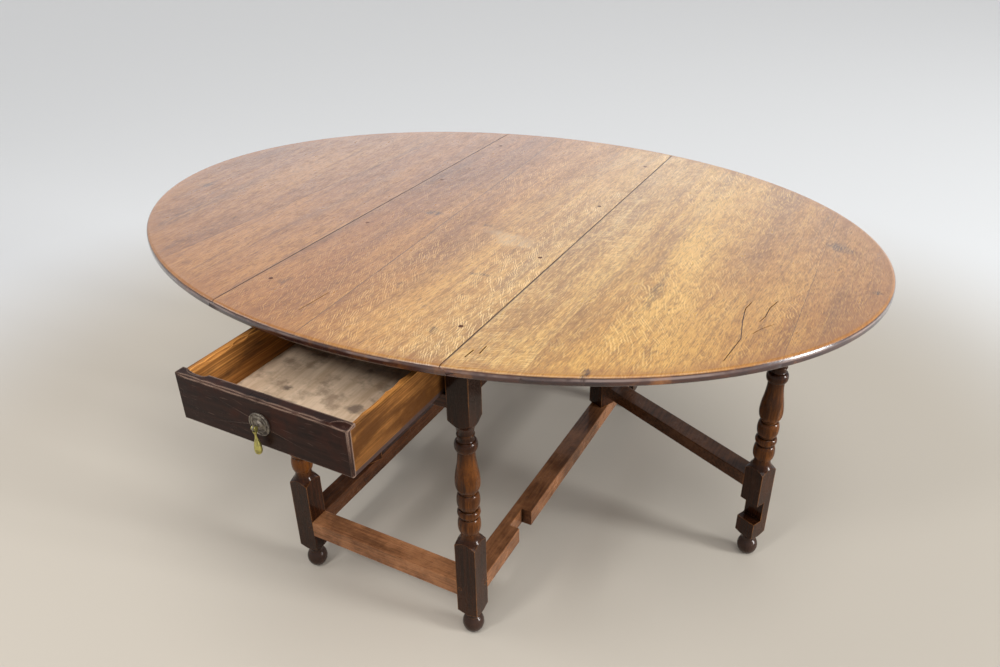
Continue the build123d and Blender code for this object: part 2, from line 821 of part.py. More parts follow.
def bottom_nails(side, clearance=0, mode=Mode.ADD):
    """The nails up through the drawer's bottom into a side."""
    x = side * (half_drawer + drawer_inner) / 2
    first = drawer_side_start + bottom_nail_inset
    spacing = (drawer_length - bottom_nail_inset - first) / (bottom_nail_count - 1)
    for number in range(bottom_nail_count):
        nail((x, first + number * spacing, drawer_bottom), (0, 0, 1), clearance, mode)


with BuildPart() as drawer_front:
    block((-half_drawer, half_drawer), (0, drawer_front_thickness),
          (drawer_bottom, drawer_front_top), drawer)
    face_edges = edges().group_by(Axis.Y)[0]
    fillet(face_edges, drawer_front_round)
    block((-half_drawer, half_drawer), (drawer_side_start, drawer_front_thickness),
          (drawer_bottom, drawer_side_z[0]), drawer, Mode.SUBTRACT)
    for side in sides.values():
        block((side * drawer_inner, side * half_drawer), (drawer_side_start, drawer_front_thickness),
              drawer_side_z, drawer, Mode.SUBTRACT)
        side_nails(side, nail_clearance, Mode.SUBTRACT)
    rod((0, 0, pull_height), (0, 1, 0), staple_radius + staple_clearance, drawer_front_thickness, drawer,
        Mode.SUBTRACT)
save(drawer_front, "drawer_front")

for side_name, side in sides.items():
    with BuildPart() as drawer_side:
        block((side * drawer_inner, side * half_drawer), (drawer_side_start, drawer_length),
              drawer_side_z, drawer)
        side_nails(side, nail_clearance, Mode.SUBTRACT)
        bottom_nails(side, nail_clearance, Mode.SUBTRACT)
    save(drawer_side, f"drawer_{side_name}_side")

with BuildPart() as drawer_back:
    block((-drawer_inner, drawer_inner), (drawer_length - drawer_back_thickness, drawer_length),
          (drawer_side_z[0], drawer_side_z[1] - drawer_back_drop), drawer)
save(drawer_back, "drawer_back")

with BuildPart() as drawer_base:
    block((-half_drawer, half_drawer), (drawer_side_start, drawer_length),
          (drawer_bottom, drawer_side_z[0]), drawer)
    for side in sides.values():
        bottom_nails(side, nail_clearance, Mode.SUBTRACT)
save(drawer_base, "drawer_bottom")

with BuildPart() as drawer_nails:
    for side in sides.values():
        side_nails(side)
        bottom_nails(side)
save(drawer_nails, "drawer_nails")


# Drop pull

eye_centre = drawer.from_local_coords(Vector(0, -eye_stand_out, pull_height))
ring_places = (rosette_radius - rosette_ring_radius, (rosette_radius + rosette_boss_radius) / 2)

with BuildPart() as rosette:
    rod((0, 0, pull_height), (0, -1, 0), rosette_radius, rosette_thickness, drawer)
    base = Plane(drawer.from_local_coords(Vector(0, -rosette_thickness, pull_height)), z_dir=(0, -1, 0))
    with Locations(base):
        Cone(rosette_boss_radius, staple_radius * 2, rosette_boss_height - rosette_thickness,
             align=(Align.CENTER, Align.CENTER, Align.MIN))
        for ring in ring_places:
            Torus(ring, rosette_ring_radius)
    rod((0, cut_past, pull_height), (0, -1, 0), staple_radius + staple_clearance,
        2 * rosette_boss_height, drawer, Mode.SUBTRACT)
save(rosette, "pull_rosette")

with BuildPart() as staple:
    rod((-eye_thickness / 2, -eye_stand_out, pull_height), (1, 0, 0), eye_radius, eye_thickness, drawer)
    rod((0, drawer_front_thickness, pull_height), (0, -1, 0), staple_radius,
        drawer_front_thickness + eye_stand_out - eye_radius + eye_root, drawer)
    block(around(0, 2 * staple_radius), (drawer_front_thickness, drawer_front_thickness + staple_radius),
          around(pull_height, staple_clench), drawer)
    rod((-eye_thickness, -eye_stand_out, pull_height), (1, 0, 0), pull_pin_radius + pull_pin_clearance,
        2 * eye_thickness, drawer, Mode.SUBTRACT)
save(staple, "pull_staple")

fork_inner = eye_thickness / 2 + fork_gap
fork_outer = fork_inner + fork_thickness
bridge_top = -eye_radius - fork_gap
bridge_bottom = bridge_top - fork_thickness

with BuildPart() as drop:
    with BuildSketch(Plane(eye_centre, x_dir=(1, 0, 0), z_dir=(0, -1, 0))) as pear:
        with BuildLine():
            crown = Line((0, bridge_top), (fork_outer, bridge_top))
            neck = Spline(crown @ 1, (drop_neck_radius, bridge_bottom - drop_neck_radius),
                          (drop_belly_radius, -drop_length + drop_belly_height),
                          tangents=((0, -1), (0, -1)))
            belly = Spline(neck @ 1, (0, -drop_length), tangents=((0, -1), (-1, 0)))
            Line(belly @ 1, crown @ 0)
        make_face()
    revolve(pear.sketch, axis=Axis(eye_centre, (0, 0, 1)))
    for side in sides.values():
        rod((side * fork_inner, -eye_stand_out, pull_height), (side, 0, 0), fork_radius, fork_thickness,
            drawer)
        block((side * fork_inner, side * fork_outer), around(-eye_stand_out, fork_radius),
              (pull_height + bridge_bottom, pull_height), drawer)
    rod((-fork_outer, -eye_stand_out, pull_height), (1, 0, 0), pull_pin_radius, 2 * fork_outer, drawer,
        Mode.SUBTRACT)
save(drop, "pull_drop")

with BuildPart() as pull_pin:
    rod((-fork_outer, -eye_stand_out, pull_height), (1, 0, 0), pull_pin_radius, 2 * fork_outer, drawer)
save(pull_pin, "pull_pin")
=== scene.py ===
# %% [markdown]
# # An old oak gateleg table
#
# The table is built in two halves. A CAD model holds the boards, turned legs, gates, hinges and the
# drawer at their real sizes, in metres, and it is loaded here as a fixed frame. This lesson gives that
# frame its looks: oak that was waxed and handled for a very long time, tarnished brass and dull iron.
# It reads from top to bottom, one step to a cell.

import math

import bpy
from mathutils import Matrix, Vector


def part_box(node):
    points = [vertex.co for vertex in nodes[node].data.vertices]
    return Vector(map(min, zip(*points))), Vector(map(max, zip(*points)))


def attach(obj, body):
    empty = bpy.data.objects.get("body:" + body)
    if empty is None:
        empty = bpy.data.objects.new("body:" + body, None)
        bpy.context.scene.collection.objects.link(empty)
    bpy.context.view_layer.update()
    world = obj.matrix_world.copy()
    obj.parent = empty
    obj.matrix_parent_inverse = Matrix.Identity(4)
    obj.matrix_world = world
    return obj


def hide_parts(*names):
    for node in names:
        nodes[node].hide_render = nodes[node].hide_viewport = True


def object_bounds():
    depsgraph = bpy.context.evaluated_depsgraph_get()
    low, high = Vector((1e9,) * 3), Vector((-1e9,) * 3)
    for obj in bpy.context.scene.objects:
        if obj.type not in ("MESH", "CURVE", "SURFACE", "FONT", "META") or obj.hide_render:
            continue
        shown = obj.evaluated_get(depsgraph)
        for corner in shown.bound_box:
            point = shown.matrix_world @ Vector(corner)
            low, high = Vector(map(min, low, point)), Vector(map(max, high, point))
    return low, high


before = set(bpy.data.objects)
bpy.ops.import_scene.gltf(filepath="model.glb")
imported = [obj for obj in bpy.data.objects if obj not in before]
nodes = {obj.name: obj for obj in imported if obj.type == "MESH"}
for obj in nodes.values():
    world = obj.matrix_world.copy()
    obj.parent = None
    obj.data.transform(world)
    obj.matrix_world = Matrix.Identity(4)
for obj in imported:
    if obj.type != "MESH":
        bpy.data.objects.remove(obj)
shown = dict(nodes)
cad_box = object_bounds()
bpy.context.scene.view_settings.view_transform = "Standard"

# %% [markdown]
# ## The camera
#
# The photograph looks down on the table from its front right corner, about 1.4 m above the floor. A
# camera is three turns: its heading, how far it looks down, and a small roll because the photographer
# held it slightly crooked. Multiplying the three rotation matrices keeps each turn readable.

# %% Camera
CAMERA_PLACE = (0.8271, -1.41705, 1.4079)
HEADING = 28.43
LOOKS_DOWN = 29.75
ROLL = -0.95
LENS = 29.54
SENSOR_WIDTH = 36

camera_data = bpy.data.cameras.new("camera")
camera_data.lens = LENS
camera_data.sensor_width = SENSOR_WIDTH
camera = bpy.data.objects.new("camera", camera_data)
bpy.context.scene.collection.objects.link(camera)
turn = (Matrix.Rotation(math.radians(HEADING), 4, "Z")
        @ Matrix.Rotation(math.radians(90 - LOOKS_DOWN), 4, "X")
        @ Matrix.Rotation(math.radians(ROLL), 4, "Z"))
camera.matrix_world = Matrix.Translation(CAMERA_PLACE) @ turn
bpy.context.scene.camera = camera
print("camera at", CAMERA_PLACE, "with a", LENS, "mm lens")

# %% [markdown]
# ## Floor and light
#
# The floor is one plain disc. Its paint is beige under the table and turns pale further out, because the
# photograph has a pale background. Most light comes from a wide, soft sun, which lights the whole floor
# alike.

# %% Floor
FLOOR_RADIUS = 30
FLOOR_NEAR = (0.56, 0.50, 0.42)
FLOOR_FAR = (0.82, 0.815, 0.805)
BEIGE_RADIUS = 1.3
PALE_RADIUS = 2.6

bpy.ops.object.select_all(action="DESELECT")
bpy.ops.mesh.primitive_circle_add(vertices=96, radius=FLOOR_RADIUS, fill_type="NGON", location=(0, 0, 0))
floor = bpy.context.object
floor.name = "floor"
floor_paint = bpy.data.materials.new("floor_paint")
floor_paint.use_nodes = True
paint = floor_paint.node_tree.nodes
far = paint.new("ShaderNodeVectorMath")
far.operation = "LENGTH"
fade = paint.new("ShaderNodeMapRange")
fade.interpolation_type = "SMOOTHSTEP"
fade.inputs["From Min"].default_value = BEIGE_RADIUS
fade.inputs["From Max"].default_value = PALE_RADIUS
two_tone = paint.new("ShaderNodeValToRGB")
two_tone.color_ramp.elements[0].color = (*FLOOR_NEAR, 1)
two_tone.color_ramp.elements[1].color = (*FLOOR_FAR, 1)
join = floor_paint.node_tree.links.new
join(paint.new("ShaderNodeTexCoord").outputs["Object"], far.inputs[0])
join(far.outputs["Value"], fade.inputs["Value"])
join(fade.outputs["Result"], two_tone.inputs["Fac"])
join(two_tone.outputs["Color"], paint["Principled BSDF"].inputs["Base Color"])
paint["Principled BSDF"].inputs["Roughness"].default_value = 0.9
paint["Principled BSDF"].inputs["Specular IOR Level"].default_value = 0.1
floor.data.materials.append(floor_paint)
print("floor of", round(floor.dimensions.x), "m")

# %% [markdown]
# ## The world
#
# The world adds little light. What the camera and the mirrored rays see of it is a pale backdrop, and
# behind the table a white wall by a window: a waxed top only looks waxed when it has something pale to
# mirror at a flat angle. The wall fades out with the heading and with the height above the horizon.

# %% World
WALL = (1.5, 1.55, 1.62)
BACKDROP = (0.60, 0.61, 0.63)
DIM_LIGHT = (0.22, 0.225, 0.235)
TOWARDS_WALL = Vector((-0.36, 0.933, 0))
WALL_HEADING = (0.6, 0.93)
WALL_HEIGHT = (0.52, 0.3)

world = bpy.data.worlds.new("studio")
world.use_nodes = True
sky = world.node_tree.nodes
join = world.node_tree.links.new
view = sky.new("ShaderNodeTexCoord").outputs["Generated"]
facing = sky.new("ShaderNodeVectorMath")
facing.operation = "DOT_PRODUCT"
facing.inputs[1].default_value = TOWARDS_WALL
join(view, facing.inputs[0])
rise = sky.new("ShaderNodeSeparateXYZ")
join(view, rise.inputs["Vector"])
glow = sky.new("ShaderNodeMath")
glow.operation = "MULTIPLY"
fades = ((facing.outputs["Value"], WALL_HEADING), (rise.outputs["Z"], WALL_HEIGHT))
for socket, (value, (low, high)) in zip(glow.inputs, fades):
    fall = sky.new("ShaderNodeMapRange")
    fall.interpolation_type = "SMOOTHSTEP"
    fall.inputs["From Min"].default_value = low
    fall.inputs["From Max"].default_value = high
    join(value, fall.inputs["Value"])
    join(fall.outputs["Result"], socket)
ray = sky.new("ShaderNodeLightPath")
seen = ray.outputs["Is Camera Ray"]
for kind in ("Is Glossy Ray", "Is Transmission Ray"):
    either = sky.new("ShaderNodeMath")
    either.operation = "MAXIMUM"
    join(seen, either.inputs[0])
    join(ray.outputs[kind], either.inputs[1])
    seen = either.outputs["Value"]


def wash(share, colour):
    """A mix node that goes over to a colour by a share."""
    made = sky.new("ShaderNodeMix")
    made.data_type = "RGBA"
    made.clamp_result = False
    made.inputs[7].default_value = (*colour, 1)
    join(share, made.inputs[0])
    return made


plain = wash(seen, BACKDROP)
plain.inputs[6].default_value = (*DIM_LIGHT, 1)
walled = wash(glow.outputs["Value"], WALL)
join(plain.outputs[2], walled.inputs[6])
join(walled.outputs[2], sky["Background"].inputs["Color"])
bpy.context.scene.world = world
print("a world with", len(sky), "nodes that glows behind the table")

# %% [markdown]
# ## Lamps
#
# Three lamps join the sun. A large one at the right is the room's window: it stands low, so the upper
# half of every bead mirrors it and the faces turned away from it stay dark. A small one high in front
# reaches into the open drawer, and a long one at the left draws a light line along the rim.

# %% Lamps


def lamp(name, place, aim, width, height, power, colour):
    """A rectangular soft lamp at a place, turned to face a point."""
    data = bpy.data.lights.new(name, "AREA")
    data.shape = "RECTANGLE"
    data.size = width
    data.size_y = height
    data.energy = power
    data.color = colour
    made = bpy.data.objects.new(name, data)
    made.location = place
    made.rotation_euler = (Vector(aim) - Vector(place)).to_track_quat("-Z", "Y").to_euler()
    made.visible_camera = False
    bpy.context.scene.collection.objects.link(made)


UNDER_TOP = (0, 0.07, 0.5)
DRAWER = (-0.05, -0.5, 0.6)
FRONT_RIM = (0, -0.4, 0.7)
SUN_STRENGTH = 1.45
SUN_WIDTH = 45
SUN_FALLS = Vector((-0.3, 0.3, -1))

lamp("window", (9.0, 0.65, 2.2), UNDER_TOP, 2.0, 3.6, 980, (0.93, 0.97, 1))
lamp("drawer_lamp", (-0.35, -2.2, 2.5), DRAWER, 0.4, 0.4, 22, (0.96, 0.98, 1))
lamp("left_lamp", (-2.4, -1.6, 2.2), FRONT_RIM, 1.6, 0.25, 18, (0.95, 0.96, 1))
sun_data = bpy.data.lights.new("soft_sun", "SUN")
sun_data.energy = SUN_STRENGTH
sun_data.angle = math.radians(SUN_WIDTH)
sun = bpy.data.objects.new("soft_sun", sun_data)
sun.rotation_euler = SUN_FALLS.to_track_quat("-Z", "Y").to_euler()
bpy.context.scene.collection.objects.link(sun)
print("a soft sun and 3 lamps")

# %% [markdown]
# ## Cracks and chips
#
# The CAD boards are perfect, and an old table isn't. A crack is a real groove here: thin blocks are set
# end to end along its path and cut out of a copy of the board with a Boolean modifier. Chips on the
# drawer are cut the same way, with squashed balls set along an edge. The copy then rides on the same body
# as its CAD piece and stands in for it. CAD meshes are loose triangles, so a copy is merged first. After
# the cuts, rounded faces are shaded smooth, and faces square to an axis stay flat: smoothed, a large flat
# face would take on a false shine from its rounded edge.

# %% Carving tools
TOP_Z = cad_box[1].z
board_low, board_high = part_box("fixed_top_left_board")
TOP_CENTRE_Y = (board_low.y + board_high.y) / 2
MERGE_REACH = 0.00001
SMOOTH_BELOW = 30
SQUARE = 0.9999


def on_top(x, y):
    """A point on the top's face, given from the middle of the oval."""
    return (x, y + TOP_CENTRE_Y, TOP_Z)


def crack(path, width=0.0016, depth=0.005):
    """Thin blocks end to end along a path on the top."""
    blocks = []
    points = [Vector(on_top(*point)) for point in path]
    for start, end in zip(points, points[1:]):
        along = end - start
        bpy.ops.mesh.primitive_cube_add(size=1, location=(start + end) / 2,
                                        rotation=(0, 0, math.atan2(along.y, along.x)),
                                        scale=(along.length + 0.5 * width, width, 2 * depth))
        blocks.append(bpy.context.object)
    return blocks


def chip(place, size):
    """A squashed ball about a place on an edge."""
    bpy.ops.mesh.primitive_ico_sphere_add(subdivisions=3, radius=1, location=place, scale=size)
    return [bpy.context.object]


def carve(node, body, cutters):
    """A copy of a CAD piece with the cutters taken out of it, which stands in for the piece."""
    piece = bpy.data.objects.new(f"{node}_worn", nodes[node].data.copy())
    bpy.context.scene.collection.objects.link(piece)
    bpy.ops.object.select_all(action="DESELECT")
    piece.select_set(True)
    bpy.context.view_layer.objects.active = piece
    bpy.ops.object.mode_set(mode="EDIT")
    bpy.ops.mesh.select_all(action="SELECT")
    bpy.ops.mesh.remove_doubles(threshold=MERGE_REACH)
    bpy.ops.object.mode_set(mode="OBJECT")
    for cutter in cutters:
        cut = piece.modifiers.new("cut", "BOOLEAN")
        cut.operation = "DIFFERENCE"
        cut.object = cutter
        bpy.ops.object.modifier_apply(modifier=cut.name)
        bpy.data.objects.remove(cutter)
    bpy.ops.object.shade_smooth_by_angle(angle=math.radians(SMOOTH_BELOW))
    for face in piece.data.polygons:
        face.use_smooth = max(abs(part) for part in face.normal) < SQUARE
    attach(piece, body)
    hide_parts(node)
    shown[node] = piece
    print(piece.name, "with", len(piece.data.polygons), "faces")


# %% Cracks in the top
bpy.ops.object.select_all(action="DESELECT")
carve("right_leaf_middle_board", "right_leaf", [
    *crack(((0.617, -0.374), (0.624, -0.295), (0.612, -0.233), (0.606, -0.188), (0.610, -0.161))),
    *crack(((0.638, -0.224), (0.643, -0.202), (0.643, -0.169), (0.650, -0.137))),
    *crack(((0.637, -0.270), (0.647, -0.246), (0.661, -0.224)), 0.0012)])
carve("right_leaf_inner_board", "right_leaf", [
    *crack(((0.2515, -0.545), (0.2535, -0.520)), 0.003),
    *crack(((0.267, -0.525), (0.266, -0.500)), 0.0025)])
carve("fixed_top_left_board", "frame",
      crack(((-0.089, -0.537), (-0.086, -0.500), (-0.084, -0.461))))

# %% Chips on the drawer
front_low, front_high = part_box("drawer_front")
front_width = front_high.x - front_low.x
front_chips = chip((front_low.x + 0.035, front_high.y, front_high.z), (0.024, 0.010, 0.007))
front_chips += chip((front_high.x - 0.012, front_low.y + 0.004, front_high.z + 0.003), (0.024, 0.014, 0.007))
front_scallops = ((0.09, 0.03), (0.21, 0.022), (0.34, 0.04), (0.5, 0.026), (0.63, 0.035), (0.79, 0.028))
for share, length in front_scallops:
    place = (front_low.x + share * front_width, front_low.y, front_high.z)
    front_chips += chip(place, (length, 0.0042, 0.0034))
carve("drawer_front", "drawer", front_chips)
for side, inward in (("left", 1), ("right", -1)):
    low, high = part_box(f"drawer_{side}_side")
    inner_x = high.x if inward > 0 else low.x
    side_chips = []
    for share, length in ((0.05, 0.02), (0.13, 0.035), (0.22, 0.02), (0.3, 0.03), (0.39, 0.025)):
        place = (inner_x, low.y + share * (high.y - low.y), high.z)
        side_chips += chip(place, (0.006, length, 0.004))
    carve(f"drawer_{side}_side", "drawer", side_chips)

# %% [markdown]
# ## Words for building finishes
#
# Every finish below is a small graph of nodes. Writing each node out in full would hide the idea, so
# this helper gives the common ones short names: a noise, a stretched copy of the coordinates, a colour
# ramp, a mix. A value that is a socket gets joined, and anything else is written into the node.

# %% Finish helper


class Finish:
    """A material in the making, with short words for its nodes."""

    def __init__(self, name, specular=0.5, coat=0.0, coat_roughness=0.2, metallic=0.0, gleam=(1, 1, 1)):
        self.material = bpy.data.materials.new(name)
        self.material.use_nodes = True
        self.tree = self.material.node_tree
        self.shader = self.tree.nodes["Principled BSDF"]
        self.shader.inputs["Specular IOR Level"].default_value = specular
        self.shader.inputs["Specular Tint"].default_value = (*gleam, 1)
        self.shader.inputs["Coat Weight"].default_value = coat
        self.shader.inputs["Coat Roughness"].default_value = coat_roughness
        self.shader.inputs["Metallic"].default_value = metallic
        self.coordinates = self.add("ShaderNodeTexCoord")
        self.place = self.coordinates.outputs["Object"]

    def add(self, kind, settings=None, **inputs):
        """A node with its settings, and its inputs joined or filled."""
        made = self.tree.nodes.new(kind)
        for key, value in (settings or {}).items():
            setattr(made, key, value)
        for key, value in inputs.items():
            self.put(made.inputs[key.replace("_", " ")], value)
        return made

    def put(self, socket, value):
        """Join a socket to a node's output, or write a plain value into it."""
        if isinstance(value, bpy.types.NodeSocket):
            self.tree.links.new(value, socket)
        else:
            socket.default_value = value

    def maths(self, operation, first, second=0.0):
        made = self.add("ShaderNodeMath", {"operation": operation})
        self.put(made.inputs[0], first)
        self.put(made.inputs[1], second)
        return made.outputs[0]

    def vector(self, operation, first, second):
        made = self.add("ShaderNodeVectorMath", {"operation": operation})
        self.put(made.inputs[0], first)
        self.put(made.inputs[1], second)
        return made.outputs["Value" if operation in ("DOT_PRODUCT", "LENGTH") else "Vector"]

    def axis(self, vector, name):
        return self.add("ShaderNodeSeparateXYZ", Vector=vector).outputs[name]

    def placed(self, vector, shift=(0, 0, 0), turn=(0, 0, 0), scale=(1, 1, 1)):
        """Coordinates that are scaled, turned by degrees, then shifted."""
        return self.add("ShaderNodeMapping", Vector=vector, Location=shift,
                        Rotation=[math.radians(a) for a in turn], Scale=scale).outputs["Vector"]

    def noise(self, vector, scale, detail=4.0, roughness=0.55, output="Fac"):
        return self.add("ShaderNodeTexNoise", Vector=vector, Scale=scale, Detail=detail,
                        Roughness=roughness).outputs[output]

    def bands(self, vector, spacing):
        """Stripes across y, from 0 to 1, with the given spacing."""
        return self.add("ShaderNodeTexWave", {"wave_type": "BANDS", "bands_direction": "Y"},
                        Vector=vector, Scale=math.tau / (20 * spacing)).outputs["Fac"]

    def between(self, value, low, high, to_low=0.0, to_high=1.0):
        """A value taken smoothly from one range to another."""
        made = self.add("ShaderNodeMapRange", {"interpolation_type": "SMOOTHSTEP"}, Value=value)
        for key, number in (("From Min", low), ("From Max", high), ("To Min", to_low), ("To Max", to_high)):
            self.put(made.inputs[key], number)
        return made.outputs["Result"]

    def ramp(self, value, *stops):
        """Colours along a value, each given as (place, colour)."""
        made = self.add("ShaderNodeValToRGB", Fac=value)
        elements = made.color_ramp.elements
        while len(elements) < len(stops):
            elements.new(0.5)
        for element, (place, colour) in zip(elements, stops):
            element.position = place
            element.color = (*colour, 1)
        return made.outputs["Color"]

    def mix(self, share, first, second, blend="MIX"):
        made = self.add("ShaderNodeMix", {"data_type": "RGBA", "blend_type": blend})
        self.put(made.inputs[0], share)
        for socket, colour in zip(made.inputs[6:8], (first, second)):
            self.put(socket, colour if isinstance(colour, bpy.types.NodeSocket) else (*colour, 1))
        return made.outputs[2]

    def warped(self, vector, scale, reach, detail=2.0):
        """Coordinates pushed about by a noise, by up to reach along each axis."""
        push = self.vector("SUBTRACT", self.noise(vector, scale, detail, output="Color"), (0.5, 0.5, 0.5))
        return self.vector("ADD", vector, self.vector("MULTIPLY", push, reach))

    def spot(self, vector, centre, size, turn=0.0, soft=0.6, ragged=0.5):
        """A soft-edged patch about a centre, 1 inside and 0 outside, with a ragged outline."""
        local = self.vector("SUBTRACT", vector, centre)
        local = self.placed(local, turn=(0, 0, -turn))
        local = self.placed(local, scale=[1 / s for s in size])
        far = self.vector("LENGTH", local, (0, 0, 0))
        wobble = self.noise(vector, 0.7 / min(size[:2]), 3.0)
        far = self.maths("ADD", far, self.maths("MULTIPLY", self.maths("SUBTRACT", wobble, 0.5), 2 * ragged))
        return self.between(far, 1 - soft, 1, 1, 0)

    def worn_edges(self, width):
        """1 along convex and concave edges and 0 on flats: a rounded normal differs from the true one there."""
        rounded = self.add("ShaderNodeBevel", {"samples": 6}, Radius=width).outputs["Normal"]
        true = self.add("ShaderNodeNewGeometry").outputs["Normal"]
        return self.maths("SUBTRACT", 1.0, self.vector("DOT_PRODUCT", rounded, true))

    def crevices(self, reach):
        """1 in the open and 0 deep in a crevice of the same piece."""
        made = self.add("ShaderNodeAmbientOcclusion", {"samples": 6, "only_local": True}, Distance=reach)
        return made.outputs["AO"]

    def done(self, colour, roughness, height=None, bump=0.0, reach=0.001):
        """Join the finished colour, roughness and bump height to the shader."""
        self.put(self.shader.inputs["Base Color"], colour)
        self.put(self.shader.inputs["Roughness"], roughness)
        if height is not None:
            self.put(self.shader.inputs["Normal"],
                     self.add("ShaderNodeBump", Height=height, Strength=bump, Distance=reach).outputs["Normal"])
        return self.material


def dress(names, material):
    """Give pieces a finish: the CAD piece itself, or the worn copy that stands in for it."""
    for name in names:
        shown[name].data.materials.clear()
        shown[name].data.materials.append(material)
    print(material.name, "on", len(names), "pieces")


# %% [markdown]
# ## The oak of the top
#
# Quarter-sawn oak shows three things: long streaks along the board, pores as fine dark dashes, and pale
# ray flecks that squirm across the grain. Each is a noise or a stripe with its own stretch. Every board
# gets its own seed, so no streak runs over a joint, and a slight tint of its own, because the boards came
# from different trees. One slow ramp across all the boards changes them together from the left end of the
# oval to the right: it holds the boards' own tone and a painted sheen, a pale bluish band about the seam
# of the right leaf that stands for the bright wall mirrored in the wax. A pale band along the rim's upper
# rounding is a painted highlight.

# %% Top oak
TOP_HALF = Vector((0.828, 0.613))
# The tint from the left end of the oval (0) to its right end (1): the boards' own tone, with a painted
# sheen, a pale bluish band near the right leaf's seam.
TONE_AND_SHEEN = ((0.0, (0.80, 0.60, 0.38)), (0.36, (0.86, 0.65, 0.42)), (0.56, (1.16, 1.06, 0.88)),
          (0.68, (1.50, 1.68, 1.90)), (0.86, (1.44, 1.48, 1.20)), (1.0, (1.06, 0.90, 0.58)))


